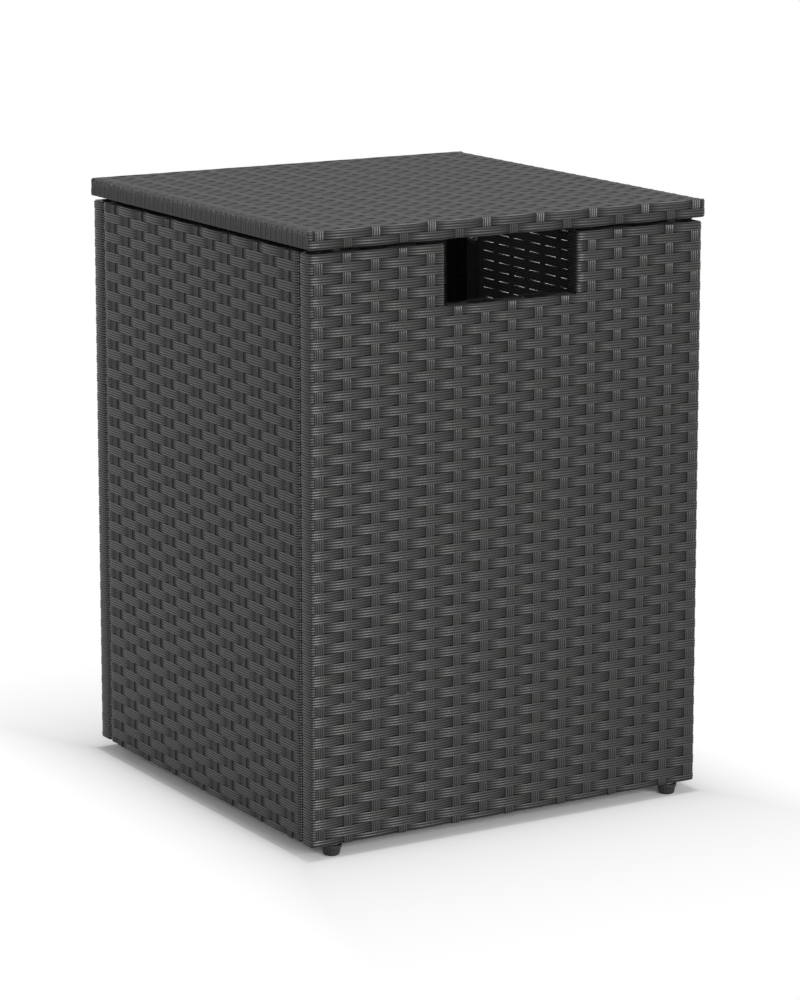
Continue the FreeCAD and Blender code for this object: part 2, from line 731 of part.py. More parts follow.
def make_guide_fasteners():
    """The screws up through the guides and the nuts welded on top of the gussets."""
    screw = socket_screw("guide_screw", "Sizes.screw_size", "Sizes.screw_long",
                         "Sizes.screw_head_wide", "Sizes.screw_head_tall")
    seat = f"({LID_LOW} + {SKIN} - Sizes.screw_seat)"
    copies("lid_guide_screws", screw, [
        (f"{sx} * {GUIDE_X}", f"{sy} * {GUIDE_Y}", seat, Vector(1, 0, 0), 180.0)
        for sx, sy, turn in GUIDE_SPOTS
    ])
    nut = doc.addObject("PartDesign::Body", "guide_nut")
    sketch = sketch_on(nut, "guide_nut_outline", "XY_Plane")
    hexagon(sketch, "Sizes.weld_nut_across")
    ring(sketch, ("0", "0"), "Sizes.screw_size / 2 + Sizes.thread_clear")
    pad(nut, "guide_nut_block", sketch, "Sizes.weld_nut_tall")
    top = f"({LID_LOW} + {SKIN} + Sizes.gusset_thick)"
    copies("lid_guide_nuts", nut, [
        (f"{sx} * {GUIDE_X}", f"{sy} * {GUIDE_Y}", top, Vector(0, 0, 1), 0.0)
        for sx, sy, turn in GUIDE_SPOTS
    ])


make_bumpers()
make_guides()
make_guide_fasteners()


# The files

doc.recompute()
for thing in doc.Objects:
    if any(mark in thing.State for mark in ("Invalid", "Error")):
        raise RuntimeError(f"{thing.Name} failed: {thing.State}")
for node in nodes:
    if node.Shape.isNull() or not node.Shape.isValid() or not node.Shape.Solids:
        raise RuntimeError(f"{node.Label} has no valid solid")
os.makedirs("parts", exist_ok=True)
for node in nodes:
    node.Shape.exportStep(f"parts/{node.Label}.step")
    print(f"{node.Label}: {len(node.Shape.Solids)} solids, {node.Shape.Volume / 1000:.2f} cm3")
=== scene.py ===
from collections import namedtuple
from math import cos, pi, radians, sin

import bpy
from mathutils import Matrix, Vector


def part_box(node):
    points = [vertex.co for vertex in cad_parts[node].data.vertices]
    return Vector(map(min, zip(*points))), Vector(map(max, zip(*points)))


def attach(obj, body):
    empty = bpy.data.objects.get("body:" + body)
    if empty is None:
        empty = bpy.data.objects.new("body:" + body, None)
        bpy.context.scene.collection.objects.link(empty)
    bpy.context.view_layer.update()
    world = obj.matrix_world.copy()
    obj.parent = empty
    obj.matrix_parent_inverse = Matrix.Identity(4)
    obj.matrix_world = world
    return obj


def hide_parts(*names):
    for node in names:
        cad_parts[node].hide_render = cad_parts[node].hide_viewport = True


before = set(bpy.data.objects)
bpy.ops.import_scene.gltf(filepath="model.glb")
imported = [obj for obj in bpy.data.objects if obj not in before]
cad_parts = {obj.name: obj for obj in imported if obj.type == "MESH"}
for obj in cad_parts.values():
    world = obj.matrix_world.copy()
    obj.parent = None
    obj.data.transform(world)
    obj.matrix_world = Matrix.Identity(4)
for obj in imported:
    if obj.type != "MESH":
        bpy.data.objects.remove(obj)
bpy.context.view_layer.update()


# The panel frames
# Four frames of square steel tube carry the woven skins. The tube is cut,
# welded and powder coated black, and shows at the notch and from inside.

MM = 0.001
SIDES = ("front", "left", "rear", "right")
GRAIN_DEEP = 0.1 * MM
GRAINS_PER_CLOUD = 12


def add(tree, kind, inputs=(), **settings):
    """Adds a node. inputs gives a socket, by name or place, its value or the output it is linked to."""
    node = tree.nodes.new(kind)
    for setting, value in settings.items():
        setattr(node, setting, value)
    for socket, value in dict(inputs).items():
        if isinstance(value, bpy.types.NodeSocket):
            tree.links.new(value, node.inputs[socket])
        else:
            node.inputs[socket].default_value = value
    return node


def noise(tree, place, scale, detail):
    """A cloudy pattern, from 0 to 1."""
    return add(tree, "ShaderNodeTexNoise", {"Vector": place, "Scale": scale, "Detail": detail}).outputs["Fac"]


def blend(tree, share, first, second):
    """The first colour with a share of the second mixed in."""
    return add(tree, "ShaderNodeMix", {"Factor": share, 6: first, 7: second}, data_type="RGBA").outputs[2]


def ramp(tree, value, between=(0.0, 1.0), gives=(0.0, 1.0)):
    """A value carried from one range over to another, and held at both ends."""
    return add(tree, "ShaderNodeMapRange", {"Value": value, "From Min": between[0], "From Max": between[1],
                                            "To Min": gives[0], "To Max": gives[1]}).outputs["Result"]


def bumps(tree, height, strength):
    """A fine relief that the light shows and the mesh doesn't have."""
    return add(tree, "ShaderNodeBump", {"Height": height, "Strength": strength,
                                        "Distance": GRAIN_DEEP}).outputs["Normal"]


def new_material(name, **sockets):
    """A material with its node tree and its shader, whose sockets are named with underscores."""
    material = bpy.data.materials.new(name)
    material.use_nodes = True
    tree = material.node_tree
    shader = tree.nodes["Principled BSDF"]
    for socket, value in sockets.items():
        shader.inputs[socket.replace("_", " ")].default_value = value
    return material, tree, shader


def speckled_material(name, dark, light, cloud_scale, roughness, grain, **sockets):
    """A finish with a cloudy colour, an uneven gloss and a fine grain, all on object coordinates."""
    material, tree, shader = new_material(name, **sockets)
    place = add(tree, "ShaderNodeTexCoord").outputs["Object"]
    clouds = noise(tree, place, scale=cloud_scale, detail=4.0)
    grains = noise(tree, place, scale=cloud_scale * GRAINS_PER_CLOUD, detail=2.0)
    tree.links.new(blend(tree, clouds, dark, light), shader.inputs["Base Color"])
    tree.links.new(ramp(tree, clouds, gives=roughness), shader.inputs["Roughness"])
    tree.links.new(bumps(tree, grains, grain), shader.inputs["Normal"])
    return material


def finish_nodes(material, *names):
    """Puts a material on CAD nodes, whose meshes stay as they are."""
    for name in names:
        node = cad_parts[name]
        node.data.materials.clear()
        node.data.materials.append(material)


powder_coat = speckled_material("black powder coat", dark=(0.010, 0.010, 0.010, 1),
                                light=(0.016, 0.016, 0.016, 1), cloud_scale=60,
                                roughness=(0.42, 0.55), grain=0.3)
finish_nodes(powder_coat, *(f"{side}_frame" for side in SIDES))


# The woven panels
# Flat strands of charcoal polyethylene, 9 mm wide with four ridges along them,
# are woven over and under upright strands and wrapped round the tube frames.

STRAND_WIDE = 9.1 * MM
STRAND_THICK = 0.9 * MM
RIDGES = 4
RIDGE_DEEP = 0.28 * MM
# its sides slope, from a shoulder this far in to a corner this far below its middle
SHOULDER = 0.45 * MM
EDGE_DROP = 0.40 * MM

# the streaks, the olive patches and the drift of the strands are noise, this dense in a metre
STREAKS_ALONG = 14.0
STREAKS_ACROSS = 1600.0
PATCHES_ALONG = 18.0
DRIFTS_ALONG = 22.0
# how far apart two neighbouring strands lie in it
PATCH_STEP = 7.3
DRIFT_STEP = 3.7

# how much a strand shines, how rough its streaks are, and what a groove adds to that
RIDGE_SHINE = 0.34
GROOVE_SHINE = 0.10
SMOOTHEST = 0.21
ROUGHEST = 0.33
GROOVE_ROUGHER = 0.30
# what weathering leaves of the shine and adds to the roughness
WEATHERED_SHINE = 0.5
WEATHERED_ROUGHER = 0.20

CHARCOAL_DARK = (0.010, 0.010, 0.010, 1)
CHARCOAL_LIGHT = (0.030, 0.030, 0.029, 1)
OLIVE = (0.026, 0.024, 0.017, 1)
# the lid's top face, painted paler as painted light from above
PAINTED_LIT_TOP = (0.100, 0.100, 0.098, 1)
# painted shade in the grooves and dips of a strand's face
PAINTED_GROOVE_SHADE = (0.003, 0.003, 0.003, 1)
# a strand's back, painted paler as painted light on the table's inside, and the painted shade in its grooves
PAINTED_LIT_BACK = (0.12, 0.12, 0.117, 1)
PAINTED_BACK_GROOVE_SHADE = (0.012, 0.012, 0.012, 1)

LID_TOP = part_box("lid_weave")[1].z
TOP_FACE_FROM = LID_TOP - 3.0 * MM
TOP_FACE_TO = LID_TOP - 1.8 * MM


def maths(tree, operation, *values):
    """One sum on numbers and the outputs of nodes."""
    return add(tree, "ShaderNodeMath", dict(enumerate(values)), operation=operation).outputs[0]


def wicker_material():
    """Resin streaked along each strand, read from the values that the weaving stores on it."""
    material, tree, shader = new_material("charcoal wicker")
    along, across, strand, lift, back = (
        add(tree, "ShaderNodeAttribute", attribute_name=name).outputs["Fac"]
        for name in ("along", "across", "strand", "lift", "back"))
    streak_place = add(tree, "ShaderNodeCombineXYZ", {
        "X": maths(tree, "MULTIPLY", along, STREAKS_ALONG),
        "Y": maths(tree, "MULTIPLY", across, STREAKS_ACROSS), "Z": strand})
    streaks = noise(tree, streak_place.outputs[0], scale=1.0, detail=3.0)
    charcoal = blend(tree, streaks, CHARCOAL_DARK, CHARCOAL_LIGHT)
    # here and there a strand turns a little olive
    patch_place = add(tree, "ShaderNodeCombineXYZ", {
        "X": maths(tree, "MULTIPLY", along, PATCHES_ALONG),
        "Y": maths(tree, "MULTIPLY", strand, PATCH_STEP)})
    patches = noise(tree, patch_place.outputs[0], scale=1.0, detail=1.0)
    patched = blend(tree, ramp(tree, patches, between=(0.60, 0.75), gives=(0.0, 0.4)), charcoal, OLIVE)
    # the lid's top face is weathered duller, and painted paler as painted light from above
    place = add(tree, "ShaderNodeSeparateXYZ", {0: add(tree, "ShaderNodeTexCoord").outputs["Object"]})
    weathering_and_painted_light = ramp(tree, place.outputs["Z"], between=(TOP_FACE_FROM, TOP_FACE_TO))
    ridge = blend(tree, weathering_and_painted_light, patched, PAINTED_LIT_TOP)
    # the grooves between the ridges are dull, and their darkness is painted shade
    groove_turn = maths(tree, "MULTIPLY", across, 2 * pi * RIDGES / STRAND_WIDE)
    groove_shade_and_dullness = ramp(tree, maths(tree, "COSINE", groove_turn), between=(-0.5, 0.9), gives=(0.0, 0.9))
    # so are the dips where a strand passes under another, with painted shade there too
    dip_shade_and_dullness = ramp(tree, lift, between=(0.55, -0.5), gives=(0.0, 0.8))
    dullness_and_painted_shade = maths(tree, "MAXIMUM", groove_shade_and_dullness, dip_shade_and_dullness)
    # the back of a strand is painted paler, as painted light on the table's inside, and its grooves get
    # painted shade
    outer_face = blend(tree, dullness_and_painted_shade, ridge, PAINTED_GROOVE_SHADE)
    painted_lit_back = blend(tree, groove_shade_and_dullness, PAINTED_LIT_BACK, PAINTED_BACK_GROOVE_SHADE)
    tree.links.new(blend(tree, back, outer_face, painted_lit_back), shader.inputs["Base Color"])
    shine = maths(tree, "MULTIPLY", ramp(tree, dullness_and_painted_shade, gives=(RIDGE_SHINE, GROOVE_SHINE)),
                  ramp(tree, weathering_and_painted_light, gives=(1.0, WEATHERED_SHINE)))
    tree.links.new(shine, shader.inputs["Specular IOR Level"])
    streaked = ramp(tree, streaks, gives=(SMOOTHEST, ROUGHEST))
    grooved = maths(tree, "MULTIPLY_ADD", dullness_and_painted_shade, GROOVE_ROUGHER, streaked)
    roughness = maths(tree, "MULTIPLY_ADD", weathering_and_painted_light, WEATHERED_ROUGHER, grooved)
    tree.links.new(roughness, shader.inputs["Roughness"])
    tree.links.new(bumps(tree, streaks, strength=0.25), shader.inputs["Normal"])
    return material


WICKER = wicker_material()

# the depth of a woven skin's middle below its face, and the bend of a strand folded over an edge
SKIN_MIDDLE = 1.25 * MM
FOLD_BEND = 1.4 * MM


def store(mesh, name, values):
    """Stores a value at each point of a mesh."""
    mesh.attributes.new(name, "FLOAT", "POINT").data.foreach_set("value", values)


def strand_section(name, fold=0, edge=0.0, crown=0.0):
    """The outline of a strand as a closed ring: x is its outward height, y its place across.

    fold is 1 or -1 for a strand folded back over an upper or a lower edge, which lies the distance
    edge from the strand's middle. crown is how far its upper side falls from its middle to its sides."""
    half = STRAND_WIDE / 2
    high = STRAND_THICK / 2
    shoulder = high - RIDGE_DEEP
    step = STRAND_WIDE / (2 * RIDGES)
    top = [(-half + step * i, high if i % 2 else shoulder) for i in range(2 * RIDGES + 1)]
    top[0:1] = [(-half, -EDGE_DROP), (-half + SHOULDER, shoulder)]
    top[-1:] = [(half - SHOULDER, shoulder), (half, -EDGE_DROP)]
    top = [(across, max(-EDGE_DROP, height - crown * (across / half) ** 2)) for across, height in top]
    if fold:
        fold_start = edge - SKIN_MIDDLE - FOLD_BEND
        under = [(half - step * (i + 0.5), -high) for i in range(2 * RIDGES)]
    else:
        fold_start = 0.0
        under = [(half - step / 2, -high), (-half + step / 2, -high)]
    outline = []
    for across, height in reversed(top + under):
        past = max(0.0, across * fold - fold_start)
        turn = min(past, FOLD_BEND * pi / 2) / FOLD_BEND
        straight = past - turn * FOLD_BEND
        out = (FOLD_BEND + height) * cos(turn) - FOLD_BEND - straight * sin(turn)
        side = min(across * fold, fold_start) + (FOLD_BEND + height) * sin(turn) + straight * cos(turn)
        outline.append((out, -side * fold if fold else -across, across))
    mesh = bpy.data.meshes.new(name)
    mesh.from_pydata([(out, side, 0) for out, side, _ in outline],
                     [(i, (i + 1) % len(outline)) for i in range(len(outline))], [])
    store(mesh, "across", [across for _, _, across in outline])
    store(mesh, "back", [float(i < len(under)) for i in range(len(outline))])
    section = bpy.data.objects.new(name, mesh)
    bpy.context.collection.objects.link(section)
    return section


def weaving_tree():
    """The node tree that lays strands side by side along a path and waves them over and under."""
    tree = bpy.data.node_groups.new("Weaving", "GeometryNodeTree")
    interface = tree.interface
    interface.new_socket("Path", in_out="INPUT", socket_type="NodeSocketGeometry")
    interface.new_socket("Woven", in_out="OUTPUT", socket_type="NodeSocketGeometry")
    sockets = {"Section": "Object", "Strands": "Int", "Spacing": "Float", "First Crossing": "Float",
               "Crossing Spacing": "Float", "Over First": "Int", "Height": "Float",
               "Squareness": "Float", "Dwell": "Float", "Breadth": "Float", "Waver": "Float",
               "Seed": "Int", "Material": "Material"}
    for name, kind in sockets.items():
        interface.new_socket(name, in_out="INPUT", socket_type=f"NodeSocket{kind}")
    given = add(tree, "NodeGroupInput").outputs

    def stored(name):
        return add(tree, "GeometryNodeInputNamedAttribute", {"Name": name}, data_type="FLOAT").outputs[0]

    line = add(tree, "GeometryNodeMeshToCurve", {"Mesh": given["Path"]})
    side_by_side = add(tree, "GeometryNodeDuplicateElements",
                       {"Geometry": line.outputs[0], "Amount": given["Strands"]}, domain="SPLINE")
    index = side_by_side.outputs["Duplicate Index"]
    # near 1 where the strand is over its crossing and near -1 where it is under, squared off by a
    # tanh, and over for longer than under by its dwell
    parity = maths(tree, "MODULO", maths(tree, "ADD", index, given["Over First"]), 2.0)
    crossings = maths(tree, "DIVIDE", maths(tree, "SUBTRACT", stored("along"), given["First Crossing"]),
                      given["Crossing Spacing"])
    half_turns = maths(tree, "ADD", maths(tree, "ADD", crossings, parity), 1.0)
    swing = maths(tree, "COSINE", maths(tree, "MULTIPLY", half_turns, pi))
    squared = maths(tree, "TANH", maths(tree, "MULTIPLY", maths(tree, "ADD", swing, given["Dwell"]),
                                        given["Squareness"]))
    rise = maths(tree, "MULTIPLY", maths(tree, "MULTIPLY", squared, given["Height"]), stored("sway"))
    outward = add(tree, "ShaderNodeVectorMath",
                  {0: add(tree, "GeometryNodeInputTangent").outputs[0], 1: (0, 0, 1)},
                  operation="CROSS_PRODUCT")
    lifted = add(tree, "ShaderNodeVectorMath", {0: outward.outputs[0], "Scale": rise}, operation="SCALE")
    # hand weaving leaves each strand a little off its place, and not quite straight
    drift_place = add(tree, "ShaderNodeCombineXYZ", {
        "X": maths(tree, "MULTIPLY", stored("along"), DRIFTS_ALONG),
        "Y": maths(tree, "MULTIPLY", index, DRIFT_STEP), "Z": given["Seed"]})
    drift = noise(tree, drift_place.outputs[0], scale=1.0, detail=1.0)
    off = maths(tree, "MULTIPLY", maths(tree, "SUBTRACT", drift, 0.5), given["Waver"])
    aside = add(tree, "ShaderNodeCombineXYZ", {
        "Z": maths(tree, "ADD", maths(tree, "MULTIPLY", index, given["Spacing"]), off)})
    moved = add(tree, "ShaderNodeVectorMath", {0: lifted.outputs[0], 1: aside.outputs[0]}, operation="ADD")
    # the material reads how far a strand is lifted, and which strand it is
    sunk = maths(tree, "MULTIPLY", maths(tree, "SUBTRACT", 1.0, squared), stored("sway"))
    laid = side_by_side
    for name, value in (("lift", maths(tree, "SUBTRACT", 1.0, sunk)),
                        ("strand", maths(tree, "ADD", index, given["Seed"]))):
        laid = add(tree, "GeometryNodeStoreNamedAttribute",
                   {"Geometry": laid.outputs[0], "Name": name, "Value": value},
                   data_type="FLOAT", domain="POINT")
    waved = add(tree, "GeometryNodeSetPosition", {"Geometry": laid.outputs[0], "Offset": moved.outputs[0]})
    upright = add(tree, "GeometryNodeSetCurveNormal", {"Curve": waved.outputs[0]}, mode="Z_UP")
    section = add(tree, "GeometryNodeObjectInfo", {"Object": given["Section"]})
    ring = add(tree, "GeometryNodeMeshToCurve", {"Mesh": section.outputs["Geometry"]})
    solid = add(tree, "GeometryNodeCurveToMesh", {"Curve": upright.outputs[0],
                                                  "Profile Curve": ring.outputs[0],
                                                  "Scale": given["Breadth"], "Fill Caps": True})
    smooth = add(tree, "GeometryNodeSetShadeSmooth", {0: solid.outputs[0], "Shade Smooth": True})
    # the edges that run along the strand stay sharp, so that its ridges catch the light
    ends = add(tree, "GeometryNodeInputMeshEdgeVertices").outputs

    def across_at(end):
        return add(tree, "GeometryNodeFieldAtIndex", {"Value": stored("across"), "Index": end},
                   data_type="FLOAT", domain="POINT").outputs[0]

    apart = maths(tree, "ABSOLUTE", maths(tree, "SUBTRACT", across_at(ends[0]), across_at(ends[1])))
    lengthwise = maths(tree, "LESS_THAN", apart, STRAND_WIDE / 1000)
    ridged = add(tree, "GeometryNodeSetShadeSmooth", {0: smooth.outputs[0], "Selection": lengthwise,
                                                      "Shade Smooth": False}, domain="EDGE")
    real = add(tree, "GeometryNodeRealizeInstances", {0: ridged.outputs[0]})
    done = add(tree, "GeometryNodeSetMaterial", {"Geometry": real.outputs[0], "Material": given["Material"]})
    add(tree, "NodeGroupOutput", {0: done.outputs[0]})
    return tree


front_low, front_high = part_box("front_weave")
FRONT_WIDE = front_high.x - front_low.x
TALL = front_high.z - front_low.z
PANEL_THICK = 20.0 * MM
# the bend of a level strand where it turns round the side of its panel
PANEL_BEND = 2.8 * MM
ROWS = 57
ROW_SPACING = 9.03 * MM
LAST_ROW = ROWS - 1
# from the panel's upper edge to the first row's middle, and from the last row's to the lower edge
FIRST_ROW = 4.5 * MM
UNDER_LAST_ROW = TALL - FIRST_ROW - LAST_ROW * ROW_SPACING

WEAVING = weaving_tree()
FLAT_STRAND = strand_section("flat strand")
UPPER_EDGE_STRAND = strand_section("strand on an upper edge", fold=1, edge=FIRST_ROW)
LOWER_EDGE_STRAND = strand_section("strand on a lower edge", fold=-1, edge=UNDER_LAST_ROW)

# a point of a strand's middle line: its place along and below the face, its distance along the
# strand, and how far the strand may sway there, from 0 to 1
PathPoint = namedtuple("PathPoint", "x depth along sway")
# points on the face keep this far from the bends and the ends, and a bend is this many lengths
LEAST_STEP = 1.0 * MM
ARC_STEPS = 3
# a wrapped strand ends on the panel's back, this far from the edge
TAIL = 22.0 * MM
# how far a level strand may sway on an edge, against 1 on the face
EDGE_SWAY = 0.2


def wrapped_path(length, thick, marks, bend, edge_sway, back_bend=None):
    """A strand's middle line round a flat bar: from its back, over one edge, along its face and back.

    bend is its radius where it turns off the face, and back_bend where it turns onto the back.
    edge_sway is how far it may sway on the edge between them."""
    back_bend = back_bend or bend
    low = SKIN_MIDDLE + bend
    high = thick - SKIN_MIDDLE - back_bend
    arc = bend * pi / 2
    back_arc = back_bend * pi / 2
    start = [PathPoint(TAIL, thick - SKIN_MIDDLE, low - arc - back_arc - high - TAIL, 0.0)]
    shares = [i / ARC_STEPS for i in range(ARC_STEPS + 1)]
    for share in shares:
        turn = pi / 2 * (1 + share)
        start.append(PathPoint(SKIN_MIDDLE + back_bend * (1 + cos(turn)), high + back_bend * sin(turn),
                               2 * low - high - arc - back_arc * (1 - share), edge_sway * share))
    for share in shares:
        turn = pi * (1 + share / 2)
        start.append(PathPoint(low + bend * cos(turn), low + bend * sin(turn),
                               low - arc * (1 - share), edge_sway + (1 - edge_sway) * share / 2))
    face = [PathPoint(mark, SKIN_MIDDLE, mark, 1.0) for mark in marks
            if low + LEAST_STEP < mark < length - low - LEAST_STEP]
    end = [PathPoint(length - x, depth, length - along, sway) for x, depth, along, sway in reversed(start)]
    return start + face + end


def straight_path(length, marks):
    """A strand's middle line along a straight edge, between its ends."""
    return [PathPoint(mark, 0.0, mark, 1.0) for mark in marks if LEAST_STEP < mark < length - LEAST_STEP]


def crossing_marks(first, spacing, count, offsets):
    """Where a path needs points: the given offsets round each crossing."""
    return [first + spacing * i + offset for i in range(-1, count + 1) for offset in offsets]


def woven(name, path, place, body, node, **sizes):
    """Weaves strands along a path and puts them in place as one plain mesh.

    sizes are inputs of the weaving, with underscores in their names."""
    mesh = bpy.data.meshes.new(name + " path")
    mesh.from_pydata([(point.x, point.depth, 0) for point in path],
                     [(i, i + 1) for i in range(len(path) - 1)], [])
    store(mesh, "along", [point.along for point in path])
    store(mesh, "sway", [point.sway for point in path])
    drawn = bpy.data.objects.new(name + " path", mesh)
    bpy.context.collection.objects.link(drawn)
    modifier = drawn.modifiers.new("Weaving", "NODES")
    modifier.node_group = WEAVING
    sizes = dict(Section=FLAT_STRAND, Material=WICKER) | sizes
    identifiers = {item.name: item.identifier for item in WEAVING.interface.items_tree}
    for socket, value in sizes.items():
        modifier[identifiers[socket.replace("_", " ")]] = value
    evaluated = drawn.evaluated_get(bpy.context.evaluated_depsgraph_get())
    solid = bpy.data.meshes.new_from_object(evaluated)
    solid.name = name
    bpy.data.objects.remove(drawn)
    solid.transform(place)
    piece = bpy.data.objects.new(name, solid)
    bpy.context.collection.objects.link(piece)
    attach(piece, body)
    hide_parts(node)


# a level strand's path has points this far from each rib, and an upright one's from each row
WEFT_OFFSETS = tuple(x * MM for x in (-13.6, -10.8, -8.4, -5.6, 0.0, 5.6, 8.4, 10.8))
RIB_OFFSETS = tuple(x * MM for x in (-3.4, -1.6, 1.6, 3.4))
WEFT_LOOKS = dict(Height=1.0 * MM, Squareness=0.8, Dwell=0.15, Breadth=1.012, Waver=0.10 * MM)
RIB_LOOKS = dict(Height=0.40 * MM, Squareness=1.2, Dwell=0.6, Breadth=0.97, Waver=0.3 * MM)
# a path drawn along X with its strands stacked along Z, stood up so that it runs down the face
DOWN = Matrix.Rotation(radians(90), 4, "Y")
# how the two strands behind a top row lie: how far back, how far down and at what tilt in degrees
EDGE_SEATS = (dict(back=7.55 * MM, down=SKIN_MIDDLE, tilt=-90),
              dict(back=PANEL_THICK - 3.3 * MM, down=SKIN_MIDDLE + 0.15 * MM, tilt=-106))


def facing(side):
    """Places a panel's face, drawn from its top left corner, on one side of the table."""
    low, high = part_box(f"{side}_weave")
    corner = {"front": (low.x, low.y), "left": (low.x, high.y),
              "rear": (high.x, high.y), "right": (high.x, low.y)}[side]
    turn = {"front": 0, "left": -90, "rear": 180, "right": 90}[side]
    return Matrix.Translation((*corner, high.z)) @ Matrix.Rotation(radians(turn), 4, "Z")


def panel_wefts(name, side, left, width, first_row, rows, first_rib, rib_spacing, ribs, over, seed,
                section=FLAT_STRAND, reach=(0, 1), looks=WEFT_LOOKS):
    """Level strands on a part of a panel, which starts left away from the panel's left edge.

    over is 1 where the panel's top row passes over its first rib, and 0 where it passes under.
    reach is the share of their length that is drawn, from 0 at the left to 1 at the right."""
    marks = crossing_marks(first_rib - left, rib_spacing, ribs, WEFT_OFFSETS)
    path = wrapped_path(width, PANEL_THICK, marks, PANEL_BEND, EDGE_SWAY)
    first, last = (width * end for end in reach)
    if first > 0:
        path = [PathPoint(first, SKIN_MIDDLE, first, 1.0)] + [
            point for point in path if point.along > first + LEAST_STEP]
    if last < width:
        path = [point for point in path if point.along < last - LEAST_STEP] + [
            PathPoint(last, SKIN_MIDDLE, last, 1.0)]
    place = facing(side) @ Matrix.Translation((left, 0, -FIRST_ROW - first_row * ROW_SPACING))
    woven(name, path, place, "body", f"{side}_weave", Strands=rows, Spacing=-ROW_SPACING, Section=section,
          First_Crossing=first_rib - left, Crossing_Spacing=rib_spacing,
          Over_First=(first_row + over) % 2, Seed=seed, **looks)


def panel_ribs(name, side, top, height, first_rib, rib_spacing, ribs, over, seed):
    """Upright strands on a part of a panel, which starts top below the panel's upper edge."""
    first_row = (FIRST_ROW - top) % ROW_SPACING
    rows_above = round((top + first_row - FIRST_ROW) / ROW_SPACING)
    marks = crossing_marks(first_row, ROW_SPACING, ROWS - rows_above, RIB_OFFSETS)
    path = wrapped_path(height, PANEL_THICK, marks, FOLD_BEND, edge_sway=1.0)
    place = facing(side) @ Matrix.Translation((first_rib, 0, -top)) @ DOWN
    woven(name, path, place, "body", f"{side}_weave", Strands=ribs, Spacing=rib_spacing,
          First_Crossing=first_row, Crossing_Spacing=ROW_SPACING,
          Over_First=(rows_above + over + 1) % 2, Seed=seed, **RIB_LOOKS)


def upper_edge(name, side, left, width, edge, row, first_rib, rib_spacing, ribs, over, seed):
    """The two strands behind the top row of a panel or of its sill: on the edge and on its back corner."""
    path = straight_path(width, crossing_marks(first_rib - left, rib_spacing, ribs, WEFT_OFFSETS))
    for step, seat in enumerate(EDGE_SEATS, 1):
        place = (facing(side) @ Matrix.Translation((left, seat["back"], -edge - seat["down"]))
                 @ Matrix.Rotation(radians(seat["tilt"]), 4, "X"))
        woven(f"{name}_{step}", path, place, "body", f"{side}_weave", Strands=1, Spacing=ROW_SPACING,
              First_Crossing=first_rib - left, Crossing_Spacing=rib_spacing,
              Over_First=(row - step + over) % 2, Seed=seed + step, **WEFT_LOOKS)


NOTCH_WIDE = 132.0 * MM
NOTCH_DEEP = 54.0 * MM
NOTCH_ROWS = 6
BESIDE_NOTCH = (FRONT_WIDE - NOTCH_WIDE) / 2
RIGHT_OF_NOTCH = FRONT_WIDE - BESIDE_NOTCH
NOTCH_START = BESIDE_NOTCH / FRONT_WIDE
NOTCH_END = RIGHT_OF_NOTCH / FRONT_WIDE
FRONT_RIBS = 15
RIBS_IN_A_THIRD = FRONT_RIBS // 3
FRONT_RIB_SPACING = 27.25 * MM
FRONT_FIRST_RIB = (FRONT_WIDE - (FRONT_RIBS - 1) * FRONT_RIB_SPACING) / 2

FRONT_LAYOUT = dict(first_rib=FRONT_FIRST_RIB, rib_spacing=FRONT_RIB_SPACING, ribs=FRONT_RIBS, over=1)
panel_wefts("front_wefts", "front", left=0, width=FRONT_WIDE, first_row=NOTCH_ROWS + 1,
            rows=LAST_ROW - NOTCH_ROWS - 1, seed=11, **FRONT_LAYOUT)
panel_wefts("front_bottom_weft", "front", left=0, width=FRONT_WIDE, first_row=LAST_ROW, rows=1, seed=10,
            section=LOWER_EDGE_STRAND, **FRONT_LAYOUT)
for seed, name, left in ((12, "left", 0), (13, "right", RIGHT_OF_NOTCH)):
    panel_wefts(f"front_wefts_{name}_of_notch", "front", left, BESIDE_NOTCH, first_row=1,
                rows=NOTCH_ROWS - 1, seed=seed, **FRONT_LAYOUT)
    panel_wefts(f"front_top_weft_{name}_of_notch", "front", left, BESIDE_NOTCH, first_row=0, rows=1,
                seed=seed + 50, section=UPPER_EDGE_STRAND, **FRONT_LAYOUT)
    upper_edge(f"front_top_edge_{name}", "front", left, BESIDE_NOTCH, edge=0, row=0, seed=seed + 60,
               **FRONT_LAYOUT)
# the row at the sill is in three lengths, and the middle one folds over the sill
for name, reach, section in (("left", (0, NOTCH_START), FLAT_STRAND),
                             ("middle", (NOTCH_START, NOTCH_END), UPPER_EDGE_STRAND),
                             ("right", (NOTCH_END, 1), FLAT_STRAND)):
    panel_wefts(f"front_sill_weft_{name}", "front", left=0, width=FRONT_WIDE, first_row=NOTCH_ROWS, rows=1,
                seed=17, section=section, reach=reach, **FRONT_LAYOUT)
upper_edge("front_sill_edge", "front", BESIDE_NOTCH, NOTCH_WIDE, edge=NOTCH_DEEP, row=NOTCH_ROWS, seed=67,
           **FRONT_LAYOUT)
# the middle third of the ribs starts at the sill of the notch
for third, (name, top) in enumerate((("left", 0.0), ("middle", NOTCH_DEEP), ("right", 0.0))):
    rib = third * RIBS_IN_A_THIRD
    panel_ribs(f"front_ribs_{name}", "front", top, height=TALL - top,
               first_rib=FRONT_FIRST_RIB + rib * FRONT_RIB_SPACING, rib_spacing=FRONT_RIB_SPACING,
               ribs=RIBS_IN_A_THIRD, over=1 + rib, seed=14 + rib)


